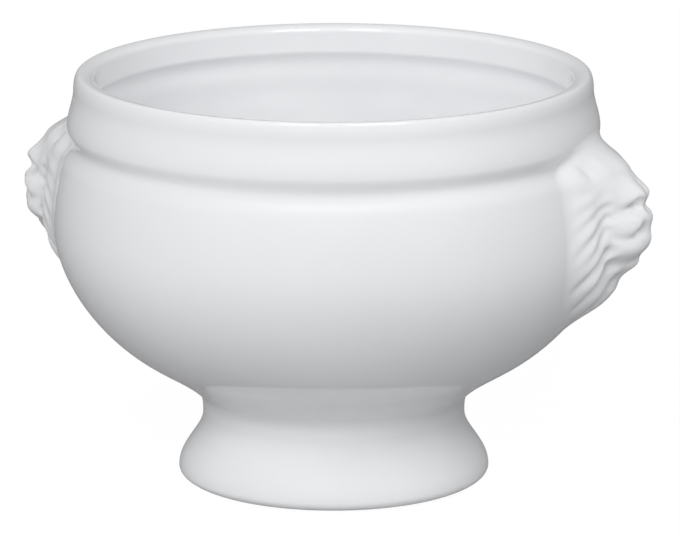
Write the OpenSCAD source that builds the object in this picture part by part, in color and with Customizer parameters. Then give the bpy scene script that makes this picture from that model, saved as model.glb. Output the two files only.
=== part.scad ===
// French onion soup crock: a footed soup bowl of white glazed porcelain with two lion-head handles.
// Millimetres, +Z up. The origin is on the table at the middle of the ring that the crock stands on.
// The bowl, the foot and the two heads are thrown or pressed apart and luted together with slip.

/* [Bowl] */
// Height of the lip's crest above the table
body_h = 92; // [84:1:104]
// Diameter of the upright rim
rim_d = 114; // [104:1:124]
// Diameter of the belly
belly_d = 123.4; // [114:0.2:134]
// Diameter at the steady slope of the underside
under_d = 88.6; // [82:0.2:96]
// Diameter at the top of the cove over the foot
cove_d = 60.4; // [58:0.2:66]
// Rise of the cove from the foot's joint
cove_rise = 4.9; // [4:0.1:7]
// Rise from the cove to the steady slope of the underside
under_rise = 9.5; // [8:0.1:12]
// Drop from the shoulder to the belly
belly_drop = 13.6; // [10:0.1:16]
// Drop from the groove to the shoulder
shoulder_drop = 4.2; // [3:0.1:6]
// How far the shoulder lies from the groove towards the belly, as a share
shoulder_share = 0.51; // [0.3:0.01:0.7]
// Drop from the collar bead to the groove under it
groove_drop = 3.5; // [2.5:0.1:5]
// Depth of the groove from the collar bead
groove_in = 1; // [0.6:0.1:2]
// Height of the band from the collar bead's fullest line to the lip's crest
band_h = 12.2; // [10:0.1:16]
// How far the collar bead stands out from the rim
collar_out = 1.5; // [0.5:0.1:3]

/* [Lip] */
// Height over which the rim rounds over into the crest
lip_h = 4; // [2:0.1:6]
// Distance of the crest in from the rim
lip_w = 2; // [1:0.1:3]
// Height over which the crest rounds down into the mouth
lip_in_h = 2; // [1:0.1:3]
// Depth of the straight mouth under the crest
mouth_h = 6.2; // [5:0.1:9]
// Height of the undercut under the straight mouth
ledge_h = 3; // [2:0.1:4]
// How far the wall falls back in the undercut
ledge_in = 1; // [0.4:0.1:1.6]

/* [Walls] */
// Thickness of the rim
rim_t = 4.6; // [3.5:0.1:6]
// Thickness behind the collar bead
collar_t = 5.1; // [4:0.1:6]
// Thickness behind the groove
groove_t = 3.2; // [2.5:0.1:4]
// Thickness at the shoulder
shoulder_t = 4.7; // [4:0.1:6]
// Thickness at the belly
belly_t = 5.3; // [4:0.1:7]
// Thickness of the underside
under_t = 5.5; // [4:0.1:7]
// Thickness of the bottom over the foot's joint
floor_t = 7; // [5:0.1:9]

/* [Pedestal foot] */
// Height of the foot, up to its joint with the bowl
foot_h = 15; // [12:0.5:19]
// Diameter of the foot's roll near the table
foot_d = 68.8; // [62:0.2:76]
// Height of the roll's fullest line
roll_z = 2.8; // [2:0.1:5]
// Diameter of the waist, where the foot meets the bowl
waist_d = 58; // [52:0.5:60]
// Thickness of the foot's wall at the waist
foot_t = 5; // [4:0.1:8]
// Outer diameter of the flat ring that it stands on
ring_d = 58; // [54:0.5:64]
// Width of the flat ring that it stands on
ring_w = 4; // [2:0.1:6]
// Height over which the ring rounds up into the hollow
ring_h = 2; // [1:0.1:4]
// Depth of the round register under the bowl that centres the foot
spigot_h = 1.5; // [1:0.1:3]
// Clearance all round between the register and the foot's hollow
spigot_fit = 0.3; // [0.1:0.05:0.5]

/* [Slopes in degrees] */
// Slope of the edge between the standing ring and the roll
tread_lean = 6; // [0:1:20]
// Slope of the cove over the foot
cove_lean = 44; // [38:1:50]
// Slope of the underside
under_lean = 35; // [32:1:40]
// Lean of the wall at the shoulder
shoulder_lean = 107.5; // [102:0.5:112]
// Lean at the shoulder of the wall without its groove, which the heads are modelled on
smooth_lean = 100; // [96:1:104]
// Lean of the inside behind the collar bead
throat_lean = 98; // [92:1:102]

/* [Lion heads] */
// Width of a head
head_w = 39; // [34:0.5:44]
// Height of the crown over the middle of the head
crown_h = 20.4; // [18:0.2:23]
// Height of the beard under the middle of the head
beard_h = 24.6; // [20:0.2:27]
// Rise of the top of the crown over the collar bead's fullest line, where it runs out into the bead
crown_rise = 1.4; // [0:0.1:3]
// Thickness of the mane over the wall
mane_t = 2.7; // [2:0.1:4]
// Height of the muzzle over the mane
face_h = 6; // [4:0.1:7]
// Extra swell of the middle of the mane
swell_t = 0.5; // [0:0.1:1.5]
// Thickness of the edge that is smoothed onto the wall
edge_t = 0.3; // [0.2:0.05:0.6]
// Slip of clay between a head and the wall
slip_t = 0.05; // [0.02:0.01:0.2]

/* [Hidden] */
$fn = 180;

// Heights above the table
rim_z = body_h - lip_h;
mouth_z = body_h - lip_in_h;
neck_z = body_h - mouth_h;
ledge_z = neck_z - ledge_h;
collar_z = body_h - band_h;
groove_z = collar_z - groove_drop;
shoulder_z = groove_z - shoulder_drop;
belly_z = shoulder_z - belly_drop;
cove_z = foot_h + cove_rise;
under_z = cove_z + under_rise;
floor_z = foot_h + floor_t;
head_z = collar_z + crown_rise - crown_h;
spigot_z = foot_h - spigot_h;

// Radii from the axis
rim_r = rim_d / 2;
crest_r = rim_r - lip_w;
mouth_r = rim_r - rim_t;
ledge_r = mouth_r + ledge_in;
collar_r = rim_r + collar_out;
groove_r = collar_r - groove_in;
belly_r = belly_d / 2;
shoulder_r = groove_r + shoulder_share * (belly_r - groove_r);
ring_r = ring_d / 2;
bore_r = waist_d / 2 - foot_t;
spigot_r = bore_r - spigot_fit;
half_w = head_w / 2;

// Steps along each curve between two stations of a profile
span_steps = 8;
// Spokes and rings of a head's front, and rings of its back
spokes = 96;
front_rings = 22;
back_rings = 10;
// Crowding of the back's rings towards the edge, where the wall has its groove
back_crowd = 1.6;
// Squareness of the head's outline over and under its middle
crown_square = 3.1;
beard_square = 2.1;
// Shares of the half width over which the mane and the carving rise from the edge
mane_rise_share = 0.36;
// Width and heights of the locks between two grooves, as shares
lock_w_share = 0.08;
lock_h_share = 0.1;
lock_end_share = 0.07;

// Carved strokes of the face, as shares of the half width, with heights as shares of the muzzle's:
// from, to, arch, half width, squareness, height at its start and height at its end
muzzle_share = [[0, -0.13], [0, 0.15], 0, 0.37, 4, 0.88, 1.0];
pad_share = [[0.26, 0.03], [0.29, 0.0], 0, 0.14, 2, 0.22, 0.24];
nose_share = [[0, 0.10], [0, -0.07], 0, 0.12, 2, 0.14, 0.16];
bridge_share = [[0, 0.375], [0, 0.205], 0, 0.125, 2, 0.07, 0.06];
pad_line_share = [[0.14, 0.12], [0.18, -0.05], -0.02, 0.055, 2, -0.04, -0.10];
mouth_share = [[0.18, -0.07], [0.37, -0.10], -0.02, 0.055, 2, -0.10, -0.04];
jaw_share = [[0, -0.17], [0.30, -0.19], -0.025, 0.10, 2, 0.10, 0.13];
chin_share = [[0, -0.39], [0.12, -0.40], 0, 0.12, 2, 0.13, 0.02];
underlip_share = [[0, -0.31], [0.36, -0.305], -0.03, 0.06, 2, -0.13, -0.2];
beard_share = [[0, -0.72], [0, -0.86], 0, 0.24, 2, 0.36, 0.24];
eye_share = [[0.15, 0.305], [0.33, 0.25], -0.01, 0.068, 2, -0.58, -0.12];
brow_share = [[0.20, 0.48], [0.38, 0.45], 0.03, 0.16, 2, 0.14, 0.20];
frown_share = [[0, 0.50], [0, 0.28], 0, 0.09, 2, -0.12, -0.36];
forehead_share = [[0, 0.84], [0, 0.60], 0, 0.38, 2, 0.70, 0.78];
tuft_share = [[0.185, 0.81], [0.33, 0.80], 0, 0.10, 2, 0.03, 0.13];
crease_share = [[0.64, 0.88], [0.53, 0.72], 0, 0.055, 2, -0.20, -0.14];
ear_share = [[0.72, 0.68], [0.80, 0.74], 0, 0.13, 2, 0.19, 0.15];
face_shares = [
    muzzle_share, pad_share, nose_share, bridge_share, pad_line_share, mouth_share, jaw_share, underlip_share,
    chin_share, beard_share, eye_share, brow_share, frown_share, forehead_share, tuft_share, crease_share,
    ear_share
];

// Grooves of the mane from the forehead round to the beard, in the same order of values
mane_shares = [
    [[0.5, 0.48], [0.92, 0.5], 0, 0.07, 2, -0.05, -0.05],
    [[0.47, 0.44], [0.93, 0.2], 0.02, 0.065, 2, -0.12, -0.06],
    [[0.46, 0.33], [0.92, 0.04], 0.02, 0.06, 2, -0.14, -0.08],
    [[0.46, 0.20], [0.88, -0.19], 0.02, 0.06, 2, -0.15, -0.11],
    [[0.48, 0.07], [0.74, -0.24], 0.01, 0.055, 2, -0.10, -0.04],
    [[0.46, -0.19], [0.76, -0.58], 0, 0.06, 2, -0.27, -0.18],
    [[0.36, -0.38], [0.54, -0.83], 0, 0.06, 2, -0.27, -0.16],
    [[0.15, -0.56], [0.22, -1.02], 0, 0.055, 2, -0.17, -0.1]
];

// Locks of the mane, each midway between two grooves
lock_shares = [
    for (i = [1:len(mane_shares) - 1])
        let (a = mane_shares[i - 1], b = mane_shares[i])
            [
                (a[0] + b[0]) / 2, (a[1] + b[1]) / 2, (a[2] + b[2]) / 2,
                lock_w_share, 2, lock_h_share, lock_end_share
            ]
];
stroke_shares = concat(face_shares, mane_shares, lock_shares);

// Points of the smooth curve from one station to the next, without the first
function span(a, b) =
    let (
        run = norm([b.x - a.x, b.y - a.y]),
        go = run * [cos(a.z), sin(a.z)],
        come = run * [cos(b.z), sin(b.z)]
    )
    [
        for (i = [1:span_steps])
            let (t = i / span_steps, u = 1 - t)
                u * u * (1 + 2 * t) * [a.x, a.y] + t * u * u * go
                + t * t * (3 - 2 * t) * [b.x, b.y] - t * t * u * come
    ];

// Points of the curve through a list of stations
function curve(s) =
    concat([[s[0].x, s[0].y]], [for (i = [1:len(s) - 1]) each span(s[i - 1], s[i])]);

// Directions of travel straight up, inwards over the crest or the floor, and straight down
up = 90;
inwards = 180;
down = 270;

// Stations of the profiles, each a radius, a height and the direction of travel there
waist = [waist_d / 2, foot_h, up];
cove = [cove_d / 2, cove_z, cove_lean];
under = [under_d / 2, under_z, under_lean];
belly = [belly_r, belly_z, up];
collar = [collar_r, collar_z, up];
rim = [rim_r, rim_z, up];
crest = [crest_r, body_h, inwards];

// Outside of the bowl from the waist to the crest
outer_line = curve([
    waist, cove, under, belly,
    [shoulder_r, shoulder_z, shoulder_lean],
    [groove_r, groove_z, up],
    collar, rim, crest
]);

// The same wall without its groove, which the heads' fronts are modelled on
smooth_line = curve([
    waist, cove, under, belly,
    [shoulder_r, shoulder_z, smooth_lean],
    collar, rim, crest
]);

// Inside of the bowl from the crest to the middle of the floor
inner_line = curve([
    crest,
    [mouth_r, mouth_z, down],
    [mouth_r, neck_z, down],
    [ledge_r, ledge_z, down],
    [collar_r - collar_t, collar_z, inwards + throat_lean],
    [groove_r - groove_t, groove_z, inwards + smooth_lean],
    [
        shoulder_r - shoulder_t * sin(shoulder_lean),
        shoulder_z + shoulder_t * cos(shoulder_lean),
        inwards + smooth_lean
    ],
    [belly_r - belly_t, belly_z, down],
    [under.x - under_t * sin(under_lean), under_z + under_t * cos(under_lean), inwards + under_lean],
    [0, floor_z, inwards]
]);

// Closed outline of the bowl, with the register under its bottom
bowl_outline = concat(
    [[0, spigot_z], [spigot_r, spigot_z], [spigot_r, foot_h]],
    outer_line,
    [for (i = [1:len(inner_line) - 1]) inner_line[i]]
);

// Closed outline of the foot, from the hollow over the standing ring and the roll to the waist
foot_outline = concat(
    curve([[bore_r, ring_h, down], [ring_r - ring_w, 0, 0]]),
    curve([[ring_r, 0, tread_lean], [foot_d / 2, roll_z, up], waist]),
    [[bore_r, foot_h]]
);

// Radius of the wall, with and without its groove, at a height
wall_table = [for (p = outer_line) if (p.y < rim_z) [p.y, p.x]];
smooth_table = [for (p = smooth_line) if (p.y < rim_z) [p.y, p.x]];

function held(v) = max(0, min(1, v));
function ease(v) = let (k = held(v)) k * k * (3 - 2 * k);

// Height of one carved stroke at a place on the face
function stroke(p, s) =
    let (
        d = s[1] - s[0],
        k = held((p - s[0]) * d / (d * d)),
        side = (d.x < 0 ? -1 : 1) / norm(d),
        mid = s[0] + k * d + 4 * s[2] * k * (1 - k) * side * [-d.y, d.x],
        h = s[5] + (s[6] - s[5]) * k
    )
    h * exp(-pow(norm(p - mid) / s[3], s[4]));

function total(list, i = 0, sum = 0) = i < len(list) ? total(list, i + 1, sum + list[i]) : sum;

// Distance from the middle to the outline in a direction, as a share of the half width
function outline_share(angle) =
    let (
        tall = (sin(angle) >= 0 ? crown_h : beard_h) / half_w,
        n = sin(angle) >= 0 ? crown_square : beard_square
    )
    pow(pow(abs(cos(angle)), n) + pow(abs(sin(angle)) / tall, n), -1 / n);

// Thickness of a head at a place given by its share of the way to the outline
function thickness(p, way) =
    let (
        rise = ease((1 - way) / mane_rise_share),
        carved = total([for (s = stroke_shares) stroke([abs(p.x), p.y], s)])
    )
    edge_t + ((mane_t - edge_t) + face_h * carved) * rise + swell_t * (1 - way * way);

// A point of a head, with the wall's table and the thickness over it
function head_point(p, table, t) =
    let (y = p.x * half_w, z = head_z + p.y * half_w, r = lookup(z, table))
    [sqrt(r * r - y * y) + t, y, z];

function front_point(angle, way) =
    let (p = way * outline_share(angle) * [cos(angle), sin(angle)])
    head_point(p, smooth_table, thickness(p, way));

function back_point(angle, way) =
    head_point(way * outline_share(angle) * [cos(angle), sin(angle)], wall_table, slip_t);

function back_way(j) = 1 - pow(1 - j / back_rings, back_crowd);

// Two triangles across one cell between a ring that starts at a and one that starts at b
function cell(a, b, i) =
    let (k = (i + 1) % spokes)
    [[a + i, b + i, b + k], [a + i, b + k, a + k]];

module lion_head() {
    turn = 360 / spokes;
    front_n = 1 + front_rings * spokes;
    front_edge = front_n - spokes;
    back_edge = front_n + 1 + (back_rings - 1) * spokes;
    front = concat(
        [front_point(0, 0)],
        [for (j = [1:front_rings]) for (i = [0:spokes - 1]) front_point(i * turn, j / front_rings)]
    );
    back = concat(
        [back_point(0, 0)],
        [for (j = [1:back_rings]) for (i = [0:spokes - 1]) back_point(i * turn, back_way(j))]
    );
    front_cap = [for (i = [0:spokes - 1]) [0, 1 + (i + 1) % spokes, 1 + i]];
    back_cap = [for (i = [0:spokes - 1]) [front_n, front_n + 1 + i, front_n + 1 + (i + 1) % spokes]];
    front_cells = [
        for (j = [1:front_rings - 1]) for (i = [0:spokes - 1])
            each cell(1 + j * spokes, 1 + (j - 1) * spokes, i)
    ];
    back_cells = [
        for (j = [1:back_rings - 1]) for (i = [0:spokes - 1])
            each cell(front_n + 1 + (j - 1) * spokes, front_n + 1 + j * spokes, i)
    ];
    edge_cells = [for (i = [0:spokes - 1]) each cell(back_edge, front_edge, i)];
    color("white")
        polyhedron(
            points = concat(front, back),
            faces = concat(front_cap, back_cap, front_cells, back_cells, edge_cells)
        );
}

module bowl() {
    color("white")
        rotate_extrude()
            polygon(bowl_outline);
}

module pedestal_foot() {
    color("white")
        rotate_extrude()
            polygon(foot_outline);
}

module lion_head_left() {
    rotate([0, 0, 180])
        lion_head();
}

module lion_head_right() {
    lion_head();
}

bowl();
pedestal_foot();
lion_head_left();
lion_head_right();
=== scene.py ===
"""A white glazed porcelain soup bowl on a pedestal foot, with two lion-head handles.

The CAD nodes set every size. The pieces below stand for them with finer surfaces: turned profiles for the
bowl and the foot, and carved relief for the two heads, which melt into the wall under one coat of glaze.
"""
import math

import bpy
import numpy as np
from mathutils import Matrix, Vector


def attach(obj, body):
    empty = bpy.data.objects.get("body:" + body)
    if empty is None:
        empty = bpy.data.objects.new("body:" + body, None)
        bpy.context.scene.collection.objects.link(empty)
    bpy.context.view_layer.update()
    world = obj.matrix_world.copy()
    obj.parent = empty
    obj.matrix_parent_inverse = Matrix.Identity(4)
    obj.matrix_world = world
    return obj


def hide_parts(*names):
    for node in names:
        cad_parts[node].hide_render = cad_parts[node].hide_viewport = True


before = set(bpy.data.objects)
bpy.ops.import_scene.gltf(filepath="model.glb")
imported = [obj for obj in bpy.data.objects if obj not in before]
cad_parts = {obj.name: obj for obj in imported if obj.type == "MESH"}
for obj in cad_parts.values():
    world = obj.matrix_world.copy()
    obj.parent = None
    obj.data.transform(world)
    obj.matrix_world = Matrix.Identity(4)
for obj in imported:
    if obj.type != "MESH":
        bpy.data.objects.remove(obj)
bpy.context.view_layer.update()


# ---------------------------------------------------------------- camera

FOCAL_PX, WIDE, HIGH = 5586.0, 680, 534  # pixels
SENSOR_MM = 36.0
AZIMUTH, ELEVATION, ROLL = 17.75, 13.5, -0.05  # degrees: to the right of the front, up, and about the view
DISTANCE = 1.2345
AIM = Vector((0.0, 0.0, 0.04275))  # the point that the camera shows at AIM_PX
AIM_PX = (333.7, 287.4)


def make_camera():
    """Sets the camera, and gives the directions to it and to its right."""
    data = bpy.data.cameras.new("camera")
    data.sensor_fit = "HORIZONTAL"
    data.sensor_width = SENSOR_MM
    data.lens = SENSOR_MM * FOCAL_PX / WIDE
    data.clip_start, data.clip_end = 0.05, 50.0
    data.shift_x = (WIDE / 2 - AIM_PX[0]) / WIDE
    data.shift_y = (AIM_PX[1] - HIGH / 2) / WIDE
    cam = bpy.data.objects.new("camera", data)
    bpy.context.scene.collection.objects.link(cam)
    a, e, roll = (math.radians(v) for v in (AZIMUTH, ELEVATION, ROLL))
    back = Vector((math.sin(a) * math.cos(e), -math.cos(a) * math.cos(e), math.sin(e)))
    right = Vector((math.cos(a), math.sin(a), 0.0))
    up = back.cross(right)
    r = right * math.cos(roll) + up * math.sin(roll)
    u = up * math.cos(roll) - right * math.sin(roll)
    turn = Matrix((r, u, back)).transposed().to_4x4()
    cam.matrix_world = Matrix.Translation(AIM + back * DISTANCE) @ turn
    bpy.context.scene.camera = cam
    return back, right


to_camera, to_right = make_camera()


# ---------------------------------------------------------------- sizes of the turned shapes, in millimetres

MM = 0.001
BODY_H, LIP_H, LIP_IN_H = 92.0, 4.0, 2.0
RIM_R, RIM_T = 57.0, 4.6
MOUTH_R = RIM_R - RIM_T
CREST_R, CREST_Z = 55.5, 91.55  # top of the rolled lip
FOOT_H, ROLL_Z = 15.0, 2.8
FOOT_R, WAIST_R = 34.4, 29.0
RING_R, RING_W, RING_H, FOOT_T = 29.0, 4.0, 2.0, 5.0
SEAT_R, SEAT_H = 23.7, 1.5  # the register under the bowl, which sits in the foot's bore
COLLAR_Z = BODY_H - 12.2
GROOVE_Z = COLLAR_Z - 3.5
SHOULDER_Z = GROOVE_Z - 4.2
BELLY_Z = SHOULDER_Z - 13.6
COVE_Z = FOOT_H + 4.9
UNDER_Z = COVE_Z + 9.5
FLOOR_Z = FOOT_H + 7.0
COLLAR_R = RIM_R + 1.5
GROOVE_R = COLLAR_R - 1.0
BELLY_R, UNDER_R, COVE_R = 61.7, 44.3, 30.2
SHOULDER_R = GROOVE_R + 0.51 * (BELLY_R - GROOVE_R)
COLLAR_T, GROOVE_T, SHOULDER_T, BELLY_T, UNDER_T = 4.8, 3.2, 4.7, 5.3, 5.5  # thickness of the wall
RIB_END, CUT_TOP, CUT_END = 6.2, 7.1, 9.4  # depths under the top: of the straight ring, and of its undercut
CUT_STEP, CUT_BACK = 0.3, 1.2  # how far the undercut lies behind the ring

# A station is a radius, a height, and the direction of the profile there, in degrees from straight out.
WAIST = (WAIST_R, FOOT_H, 90)
COVE = (COVE_R, COVE_Z, 44)
UNDER = (UNDER_R, UNDER_Z, 35)
BELLY = (BELLY_R, BELLY_Z, 90)
SHOULDER = (SHOULDER_R, SHOULDER_Z, 107.5)
GROOVE = (GROOVE_R, GROOVE_Z, 90)
COLLAR = (COLLAR_R, COLLAR_Z, 90)
RIM = (RIM_R, BODY_H - LIP_H, 90)
CREST = (CREST_R, CREST_Z, 180)


def inset(station, wall, direction):
    """The station a wall's thickness inside an outer one, square to its slope."""
    radius, z, lean = station
    a = math.radians(lean)
    return radius - wall * math.sin(a), z + wall * math.cos(a), direction


OUTSIDE = [WAIST, COVE, UNDER, BELLY, SHOULDER, GROOVE, COLLAR, RIM, CREST]
INSIDE = [
    CREST,
    (MOUTH_R, BODY_H - LIP_IN_H, 270),
    (MOUTH_R, BODY_H - RIB_END, 270),
    (MOUTH_R + CUT_STEP, BODY_H - CUT_TOP, 302),
    (MOUTH_R + CUT_BACK, BODY_H - CUT_END, 277),
    (COLLAR_R - COLLAR_T, COLLAR_Z, 274),
    (GROOVE_R - GROOVE_T, GROOVE_Z, 280),
    inset(SHOULDER, SHOULDER_T, 280),
    (BELLY_R - BELLY_T, BELLY_Z, 270),
    inset(UNDER, UNDER_T, 215),
    (0.0, FLOOR_Z, 180),
]
# The outside with its groove filled, as the slip under the heads fills it.
FILLED = [WAIST, COVE, UNDER, BELLY, (SHOULDER_R, SHOULDER_Z, 100), COLLAR, RIM, CREST]


# ---------------------------------------------------------------- turning

SPOKES = 288  # of each turned piece and each head
SHARP = 40  # degrees between faces over which an edge is left crisp
ON_AXIS = 1e-6  # a smaller radius is a pole


def span(a, b, n):
    """A curve from station a to station b, which leaves and arrives along their directions."""
    p, q = np.array(a[:2], float), np.array(b[:2], float)
    reach = np.linalg.norm(q - p)
    leave, arrive = (
        reach * np.array([math.cos(math.radians(s[2])), math.sin(math.radians(s[2]))]) for s in (a, b)
    )
    t = np.linspace(0, 1, n + 1)[:, None]
    return (
        (2 * t**3 - 3 * t**2 + 1) * p
        + (t**3 - 2 * t**2 + t) * leave
        + (3 * t**2 - 2 * t**3) * q
        + (t**3 - t**2) * arrive
    )


def chain(stations, n):
    """The stations joined by spans, n steps each."""
    parts = [np.array([stations[0][:2]], float)]
    parts += [span(a, b, n)[1:] for a, b in zip(stations[:-1], stations[1:])]
    return np.concatenate(parts)


def line(points, n):
    """Straight runs between points, n steps each, without the first point."""
    out = []
    for p, q in zip(points[:-1], points[1:]):
        out += [np.array(p) + (np.array(q) - np.array(p)) * k / n for k in range(1, n + 1)]
    return np.array(out)


def link_mesh(name, verts, faces):
    """A mesh object in the scene, in metres."""
    mesh = bpy.data.meshes.new(name)
    mesh.from_pydata(verts, [], faces)
    obj = bpy.data.objects.new(name, mesh)
    bpy.context.scene.collection.objects.link(obj)
    return obj


def new_piece(name, verts, faces):
    """A smooth piece of the bowl, from vertices in millimetres."""
    obj = link_mesh(name, [tuple(v) for v in np.asarray(verts) * MM], faces)
    mesh = obj.data
    mesh.validate()
    mesh.polygons.foreach_set("use_smooth", [True] * len(mesh.polygons))
    mesh.set_sharp_from_angle(angle=math.radians(SHARP))
    mesh.update()
    return obj


def stitch(rows, flip=False):
    """The faces between each row of vertices and the next. A row that repeats one vertex is a pole."""
    faces = []
    for low, high in zip(rows[:-1], rows[1:]):
        for k in range(SPOKES):
            j = (k + 1) % SPOKES
            face = [low[k], low[j], high[j], high[k]]
            if flip:
                face[1], face[3] = face[3], face[1]
            faces.append([v for i, v in enumerate(face) if v != face[i - 1]])
    return faces


def revolve(name, outline):
    """A closed solid turned round the Z axis. Its outline ends where it began, or on the axis at both ends."""
    ring = np.linspace(0, 2 * math.pi, SPOKES, endpoint=False)
    verts, rows = [], []
    for r, z in outline:
        first = len(verts)
        if r < ON_AXIS:
            rows.append([first] * SPOKES)
            verts.append((0.0, 0.0, z))
        else:
            rows.append(range(first, first + SPOKES))
            verts += [(r * math.cos(w), r * math.sin(w), z) for w in ring]
    if outline[0][0] > ON_AXIS:
        rows.append(rows[0])
    return new_piece(name, verts, stitch(rows))


def bowl_outline():
    """From the axis under the bowl, round its register, wall and lip, and back to the axis inside."""
    seat_z = FOOT_H - SEAT_H
    under = line([(0.0, seat_z), (SEAT_R, seat_z), (SEAT_R, FOOT_H), (WAIST_R, FOOT_H)], 3)
    wall = chain(OUTSIDE, 18)
    dish = chain(INSIDE, 14)
    return np.concatenate([[(0.0, seat_z)], under, wall[1:], dish[1:]])


def foot_outline():
    """The foot is a ring: up its outside, over its top under the bowl, down its bore and over the tread."""
    ring_in = RING_R - RING_W
    bore = RING_R - FOOT_T
    outer = chain([(RING_R, 0.0, 6), (FOOT_R, ROLL_Z, 90), WAIST], 22)
    inner = line([(WAIST_R, FOOT_H), (bore, FOOT_H), (bore, RING_H)], 4)
    tread = chain([(bore, RING_H, 270), (ring_in, 0.0, 0)], 10)
    flat = line([(ring_in, 0.0), (RING_R, 0.0)], 4)
    return np.concatenate([outer, inner, tread[1:], flat[:-1]])


# ---------------------------------------------------------------- the lion heads, in millimetres

WALL_LINE = chain(OUTSIDE, 40)
FILL_LINE = chain(FILLED, 40)
HALF_W, CROWN_H, BEARD_H = 19.5, 20.4, 24.6  # from the tip of the nose to the outline
CROWN_OVER = 1.4  # how far the crown reaches over the middle of the bead
HEAD_Z = COLLAR_Z + CROWN_OVER - CROWN_H  # the tip of the nose
FACE_H, MANE_T, SWELL_T = 6.0, 2.7, 0.5  # the face over the mane, the mane over the wall, and its swell
BACK_IN = 0.45  # how far the back lies inside the wall
CROWN_SQUARE, BEARD_SQUARE = 3.1, 2.1  # 2 is round and more is squarer
RISE_SHARE, MELT_SHARE = 0.36, 0.16  # shares of the way in over which the relief rises and the groove fills
HEAD_RINGS, BACK_RINGS = 96, 12

# Each stroke raises or sinks the relief along a line: from, to, arch, width, power, heights at its two ends.
# Places are shares of half the head's width, across and up from the tip of the nose; heights, of the face's.
FACE = [
    ((0, -0.13), (0, 0.15), 0, 0.37, 4, 0.88, 1),  # muzzle
    ((0.26, 0.07), (0.3, 0.05), 0, 0.13, 2, 0.17, 0.21),  # whisker pad
    ((0, 0.1), (0, -0.07), 0, 0.12, 2, 0.14, 0.16),  # nose
    ((0, 0.375), (0, 0.205), 0, 0.125, 2, 0.07, 0.06),  # bridge
    ((0.14, 0.14), (0.17, 0.02), -0.02, 0.06, 2, -0.04, -0.11),  # line inside the pad
    ((0.17, 0.01), (0.4, -0.03), -0.04, 0.065, 2, -0.16, -0.1),  # mouth
    ((0, -0.145), (0.33, -0.17), -0.025, 0.125, 2, 0.17, 0.15),  # jaw
    ((0, -0.31), (0.36, -0.325), -0.03, 0.075, 2, -0.12, -0.22),  # under the lip
    ((0, -0.39), (0.12, -0.4), 0, 0.12, 2, 0.13, 0.02),  # chin
    ((0, -0.72), (0, -0.86), 0, 0.24, 2, 0.36, 0.24),  # beard
    ((0.15, 0.305), (0.33, 0.25), -0.01, 0.07, 2, -0.66, -0.12),  # eye hollow
    ((0.2, 0.48), (0.38, 0.45), 0.03, 0.16, 2, 0.14, 0.2),  # brow
    ((0, 0.5), (0, 0.28), 0, 0.09, 2, -0.12, -0.36),  # frown
    ((0, 0.84), (0, 0.6), 0, 0.38, 2, 0.7, 0.78),  # forehead
    ((0.185, 0.81), (0.33, 0.8), 0, 0.1, 2, 0.03, 0.13),  # tuft
    ((0.64, 0.88), (0.53, 0.72), 0, 0.055, 2, -0.2, -0.14),  # crease by the ear
    ((0.72, 0.68), (0.8, 0.74), 0, 0.13, 2, 0.19, 0.15),  # ear
]
MANE = [  # the grooves on one side, from the ear down to the beard
    ((0.5, 0.48), (0.92, 0.5), 0, 0.07, 2, -0.05, -0.05),
    ((0.47, 0.44), (0.93, 0.2), 0.02, 0.065, 2, -0.12, -0.06),
    ((0.46, 0.33), (0.92, 0.04), 0.02, 0.06, 2, -0.14, -0.08),
    ((0.46, 0.2), (0.88, -0.19), 0.02, 0.06, 2, -0.15, -0.11),
    ((0.48, 0.07), (0.74, -0.24), 0.01, 0.055, 2, -0.1, -0.04),
    ((0.46, -0.19), (0.76, -0.58), 0, 0.06, 2, -0.27, -0.18),
    ((0.36, -0.38), (0.54, -0.83), 0, 0.06, 2, -0.27, -0.16),
    ((0.15, -0.56), (0.22, -1.02), 0, 0.055, 2, -0.17, -0.1),
]
LOCK_W, LOCK_HEIGHTS = 0.08, (0.1, 0.07)


def between(a, b):
    """A lock of hair between two grooves of the mane."""
    start, end = (tuple((p + q) / 2 for p, q in zip(a[k], b[k])) for k in (0, 1))
    return (start, end, (a[2] + b[2]) / 2, LOCK_W, 2, *LOCK_HEIGHTS)


STROKES = FACE + MANE + [between(a, b) for a, b in zip(MANE[:-1], MANE[1:])]


def ease(x):
    x = np.clip(x, 0, 1)
    return x * x * (3 - 2 * x)


def lay(stroke, across, up):
    """The height that one stroke gives to places across and up from the nose."""
    (x0, z0), (x1, z1), arch, width, power, h0, h1 = stroke
    dx, dz = x1 - x0, z1 - z0
    size = math.hypot(dx, dz)
    k = np.clip(((across - x0) * dx + (up - z0) * dz) / size**2, 0, 1)
    bow = 4 * arch * k * (1 - k) * (-1 if dx < 0 else 1) / size
    away = np.hypot(across - (x0 + k * dx - bow * dz), up - (z0 + k * dz + bow * dx))
    return (h0 + (h1 - h0) * k) * np.exp(-((away / width) ** power))


def carved(y, t):
    """The face's relief above the mane, as a share of the face's height."""
    return sum(lay(s, np.abs(y) / HALF_W, t / HALF_W) for s in STROKES)


def radius_at(profile, t):
    """The radius of a turned profile, at t up from the nose."""
    return np.interp(HEAD_Z + t, profile[:, 1], profile[:, 0])


def head_front(y, t, way):
    """How far out the glazed surface is, at y across and t up from the nose. way is 1 at the outline."""
    wall, fill = radius_at(WALL_LINE, t), radius_at(FILL_LINE, t)
    base = wall + (fill - wall) * ease((1 - way) / MELT_SHARE)
    rise = ease((1 - way) / RISE_SHARE)
    thick = (MANE_T + FACE_H * carved(y, t)) * rise + SWELL_T * (1 - way**2)
    return np.sqrt(np.maximum(base**2 - y**2, 0)) + thick


def head_back(y, t):
    """How far out the hidden back is, which follows the wall inside it."""
    return np.sqrt(np.maximum(radius_at(WALL_LINE, t) ** 2 - y**2, 0)) - BACK_IN


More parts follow.
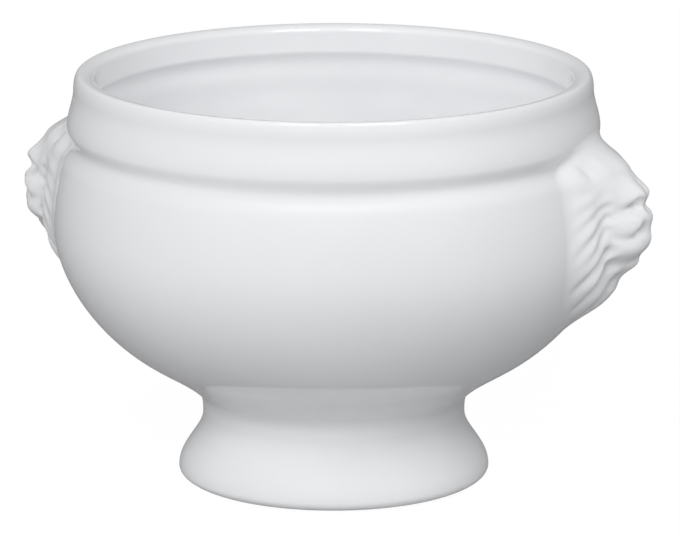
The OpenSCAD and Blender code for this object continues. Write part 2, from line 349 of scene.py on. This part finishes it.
def lion_head(name, turned):
    """One carved head on the wall: a polar grid in front, and one behind that closes it."""
    turn = np.linspace(0, 2 * math.pi, SPOKES, endpoint=False)
    c, s = np.cos(turn), np.sin(turn)
    square = np.where(s >= 0, CROWN_SQUARE, BEARD_SQUARE)
    tall = np.where(s >= 0, CROWN_H, BEARD_H)
    reach = ((np.abs(c) / HALF_W) ** square + (np.abs(s) / tall) ** square) ** (-1 / square)
    y_edge, t_edge = reach * c, reach * s
    grid = [(way, True) for way in np.linspace(0, 1, HEAD_RINGS + 1)]
    grid += [(way, False) for way in np.linspace(1, 0, BACK_RINGS + 1)]
    verts, rows = [], []
    for way, front in grid:
        y, t = (y_edge * way, t_edge * way) if way else (np.zeros(1), np.zeros(1))
        x = head_front(y, t, way) if front else head_back(y, t)
        first = len(verts)
        rows.append(range(first, first + SPOKES) if way else [first] * SPOKES)
        verts += list(zip(x, y, HEAD_Z + t))
    verts = np.array(verts)
    if turned:
        verts[:, :2] *= -1
    return new_piece(name, verts, stitch(rows, flip=True))


# ---------------------------------------------------------------- materials

COOL_WHITE, PALE_WHITE = (0.842, 0.852, 0.868, 1), (0.868, 0.874, 0.884, 1)
BISQUE = (0.78, 0.76, 0.72, 1)
BARE_TO, GLAZED_FROM = 0.0003, 0.0006  # metres over the ground


def blank(holder, output):
    """An emptied node tree: its nodes, its links, and the socket its surface goes to."""
    holder.use_nodes = True
    nodes, links = holder.node_tree.nodes, holder.node_tree.links
    nodes.clear()
    return nodes, links, nodes.new(output).inputs["Surface"]


def add(nodes, kind, values):
    """A new node with the values of its inputs."""
    node = nodes.new(kind)
    for socket, value in values.items():
        node.inputs[socket].default_value = value
    return node


def porcelain(name):
    """White porcelain under clear glaze: a hair of blue, faint waviness, and a bare, sanded tread."""
    mat = bpy.data.materials.new(name)
    nodes, links, surface = blank(mat, "ShaderNodeOutputMaterial")
    glaze = add(nodes, "ShaderNodeBsdfPrincipled", {"IOR": 1.5})
    place = nodes.new("ShaderNodeTexCoord").outputs["Object"]

    def noise(scale, detail):
        """Noise over the object, so many waves to the metre."""
        node = add(nodes, "ShaderNodeTexNoise", {"Scale": scale, "Detail": detail})
        links.new(place, node.inputs["Vector"])
        return node.outputs["Fac"]

    # Colour: a broad, faint drift of the glaze between two whites.
    tone = nodes.new("ShaderNodeValToRGB")
    low, high = tone.color_ramp.elements
    low.position, high.position = 0.3, 0.7
    low.color, high.color = COOL_WHITE, PALE_WHITE
    links.new(noise(28.0, 3.0), tone.inputs["Fac"])
    # The tread: slightly cream bisque where the glaze was wiped off.
    apart = nodes.new("ShaderNodeSeparateXYZ")
    ends = {"From Min": BARE_TO, "From Max": GLAZED_FROM, "To Min": 1.0, "To Max": 0.0}
    bare = add(nodes, "ShaderNodeMapRange", ends)
    links.new(place, apart.inputs["Vector"])
    links.new(apart.outputs["Z"], bare.inputs["Value"])
    body = nodes.new("ShaderNodeMix")
    body.data_type = "RGBA"
    body.inputs["B"].default_value = BISQUE
    links.new(bare.outputs["Result"], body.inputs["Factor"])
    links.new(tone.outputs["Color"], body.inputs["A"])
    links.new(body.outputs["Result"], glaze.inputs["Base Color"])
    # Roughness: nearly mirror-smooth glaze with a soft drift, and matt where it is bare.
    smooth = add(nodes, "ShaderNodeMapRange", {"To Min": 0.04, "To Max": 0.08})
    rough = nodes.new("ShaderNodeMix")
    rough.data_type = "FLOAT"
    rough.inputs["B"].default_value = 0.75
    links.new(noise(60.0, 2.0), smooth.inputs["Value"])
    links.new(bare.outputs["Result"], rough.inputs["Factor"])
    links.new(smooth.outputs["Result"], rough.inputs["A"])
    links.new(rough.outputs["Result"], glaze.inputs["Roughness"])
    # Bump: long, shallow waves of the glaze, and a fine grain only on the bare tread.
    soft = add(nodes, "ShaderNodeBump", {"Strength": 0.12, "Distance": 0.0004})
    gritty = add(nodes, "ShaderNodeBump", {"Strength": 0.5, "Distance": 0.0001})
    grain = nodes.new("ShaderNodeMath")
    grain.operation = "MULTIPLY"
    links.new(noise(90.0, 1.0), soft.inputs["Height"])
    links.new(noise(2500.0, 2.0), grain.inputs[0])
    links.new(bare.outputs["Result"], grain.inputs[1])
    links.new(grain.outputs["Value"], gritty.inputs["Height"])
    links.new(soft.outputs["Normal"], gritty.inputs["Normal"])
    links.new(gritty.outputs["Normal"], glaze.inputs["Normal"])
    links.new(glaze.outputs["BSDF"], surface)
    return mat


# ---------------------------------------------------------------- the object

glazed = porcelain("glazed_porcelain")

pieces = [
    (revolve("bowl_glazed", bowl_outline()), "bowl"),
    (revolve("pedestal_foot_glazed", foot_outline()), "pedestal_foot"),
    (lion_head("lion_head_right_glazed", turned=False), "lion_head_right"),
    (lion_head("lion_head_left_glazed", turned=True), "lion_head_left"),
]
for piece, node in pieces:
    piece.data.materials.append(glazed)
    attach(piece, "root")
    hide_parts(node)
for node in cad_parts.values():
    node.data.materials.clear()
    node.data.materials.append(glazed)


# ---------------------------------------------------------------- floor, cards and lamps, in metres

PAPER_R, PAPER_SIDES = 3.0, 96
PAPER_Z = -0.00005  # a hair under the ground, so that the tread stands clear of it
# Painted pool of light: within these radii the paper is made paler, to throw more light on the foot's rolled
# edge.
NEAR_R, FAR_R = 0.035, 0.048
POOL_GREY, FAR_GREY = 0.68, 0.45
PAPER_GLOW, GLOW_SHARE = 1.12, 0.85
CARD_STEPS = 96
CARD_BLUE = 1.03  # the blue of a card, as a share of its red
AIM_H = 0.05  # the height that the lamps face
ROOM = 0.24  # strength of the light from all round


def seen(nodes, links):
    """1 for what the camera sees, straight, in a reflection or through glass."""
    path = nodes.new("ShaderNodeLightPath")
    a = nodes.new("ShaderNodeMath")
    b = nodes.new("ShaderNodeMath")
    a.operation = b.operation = "MAXIMUM"
    links.new(path.outputs["Is Camera Ray"], a.inputs[0])
    links.new(path.outputs["Is Glossy Ray"], a.inputs[1])
    links.new(a.outputs["Value"], b.inputs[0])
    links.new(path.outputs["Is Transmission Ray"], b.inputs[1])
    return b.outputs["Value"]


def white_floor():
    """A wide white floor. It is lit white where the camera sees it, and keeps a soft shadow under the bowl."""
    turns = [2 * math.pi * k / PAPER_SIDES for k in range(PAPER_SIDES)]
    ring = [(PAPER_R * math.cos(w), PAPER_R * math.sin(w), PAPER_Z) for w in turns]
    obj = link_mesh("floor", ring, [tuple(range(PAPER_SIDES))])
    mat = bpy.data.materials.new("floor")
    nodes, links, surface = blank(mat, "ShaderNodeOutputMaterial")
    # A painted pool of light: the paper is made paler round the foot, so that it lights the foot's rolled edge
    # from below.
    where = nodes.new("ShaderNodeTexCoord")
    away = nodes.new("ShaderNodeVectorMath")
    away.operation = "LENGTH"
    ends = {"From Min": NEAR_R, "From Max": FAR_R, "To Min": POOL_GREY, "To Max": FAR_GREY}
    painted_pool = add(nodes, "ShaderNodeMapRange", ends)
    paper = nodes.new("ShaderNodeBsdfDiffuse")
    links.new(where.outputs["Object"], away.inputs[0])
    links.new(away.outputs["Value"], painted_pool.inputs["Value"])
    links.new(painted_pool.outputs["Result"], paper.inputs["Color"])
    lit = add(nodes, "ShaderNodeEmission", {"Strength": PAPER_GLOW})
    share = nodes.new("ShaderNodeMath")
    share.operation = "MULTIPLY"
    share.inputs[1].default_value = GLOW_SHARE
    both = nodes.new("ShaderNodeMixShader")
    links.new(seen(nodes, links), share.inputs[0])
    links.new(share.outputs["Value"], both.inputs["Fac"])
    links.new(paper.outputs["BSDF"], both.inputs[1])
    links.new(lit.outputs["Emission"], both.inputs[2])
    links.new(both.outputs["Shader"], surface)
    obj.data.materials.append(mat)


def card(name, low, high, glow, middle=0.0, sweep=360.0):
    """A card turned from one radius and height to another, round the middle of its sweep, in degrees.

    Only the glaze sees it, so it is a painted reflection: a dim card that darkens what the glaze reflects, or
    a bright strip that paints a highlight on the glaze.
    """
    row = CARD_STEPS + 1
    turns = [math.radians(middle + sweep * (k / CARD_STEPS - 0.5)) for k in range(row)]
    verts = [(r * math.sin(w), -r * math.cos(w), z) for r, z in (low, high) for w in turns]
    obj = link_mesh(name, verts, [(k, k + 1, row + k + 1, row + k) for k in range(CARD_STEPS)])
    mat = bpy.data.materials.new(name)
    nodes, links, surface = blank(mat, "ShaderNodeOutputMaterial")
    lit = add(nodes, "ShaderNodeEmission", {"Color": (glow, glow, glow * CARD_BLUE, 1)})
    links.new(lit.outputs["Emission"], surface)
    obj.data.materials.append(mat)
    obj.visible_camera = obj.visible_diffuse = obj.visible_shadow = obj.visible_transmission = False


def around(turned, raised, away):
    """A place so many degrees to the right of the camera and over the horizon, and so many metres away."""
    flat = Vector((to_camera.x, to_camera.y, 0)).normalized()
    a, e = math.radians(turned), math.radians(raised)
    side = to_right * math.sin(a) + flat * math.cos(a)
    return tuple(side * math.cos(e) * away + Vector((0, 0, AIM_H + math.sin(e) * away)))


def soft_light(name, where, size, watts):
    """A rectangular soft box that faces the bowl's middle, and shows neither itself nor its reflection."""
    data = bpy.data.lights.new(name, "AREA")
    data.shape = "RECTANGLE"
    data.size, data.size_y = size
    data.energy = watts
    obj = bpy.data.objects.new(name, data)
    bpy.context.scene.collection.objects.link(obj)
    obj.location = where
    obj.rotation_euler = (Vector((0, 0, AIM_H)) - Vector(where)).to_track_quat("-Z", "Y").to_euler()
    obj.visible_camera = obj.visible_glossy = False


def light_room():
    """An even, dim light from all round, before a backdrop that the camera sees white."""
    world = bpy.data.worlds.new("studio")
    bpy.context.scene.world = world
    nodes, links, surface = blank(world, "ShaderNodeOutputWorld")
    room = add(nodes, "ShaderNodeBackground", {"Color": (1, 1, 1, 1), "Strength": ROOM})
    backdrop = add(nodes, "ShaderNodeBackground", {"Color": (1, 1, 1, 1), "Strength": 1.0})
    both = nodes.new("ShaderNodeMixShader")
    links.new(seen(nodes, links), both.inputs["Fac"])
    links.new(room.outputs["Background"], both.inputs[1])
    links.new(backdrop.outputs["Background"], both.inputs[2])
    links.new(both.outputs["Shader"], surface)


# Each lamp: name, degrees right of the camera, degrees up, metres away, width and height, watts.
LAMPS = [
    ("front_mid", -7, 26, 1.8, (1.2, 0.8), 17.2),
    ("front_high", -26, 42, 1.7, (0.5, 0.5), 3.6),
    ("left", -92, 22, 1.8, (0.8, 0.8), 4.7),
    ("right", 74, 47, 1.7, (0.8, 0.8), 7.0),
    ("behind", 180, 55, 1.6, (1.2, 0.8), 4.8),
]

white_floor()
# Painted dark reflections: grey cards that only the glaze sees, which darken what it reflects, most towards
# its edges and low down.
card("dark_reflection_floor", (0.03, 0.0006), (0.5, 0.0006), 0.28)
card("dark_reflection_wall", (0.5, 0.001), (0.5, 0.7), 0.3)
card("dark_reflection_behind", (0.5, 0.701), (0.2, 0.95), 0.3, AZIMUTH + 180, 200)
# Painted highlights: two bright strips that only the glaze sees, which put two short streaks on the lip and
# light nothing.
card("gleam_left", (0.68, 1.32), (0.5, 1.54), 34.0, AZIMUTH - 25, 23)
card("gleam_right", (0.68, 1.32), (0.5, 1.54), 34.0, AZIMUTH + 31, 34)
for lamp, turned, raised, away, size, watts in LAMPS:
    soft_light(lamp, around(turned, raised, away), size, watts)
light_room()

bpy.context.scene.view_settings.view_transform = "Standard"
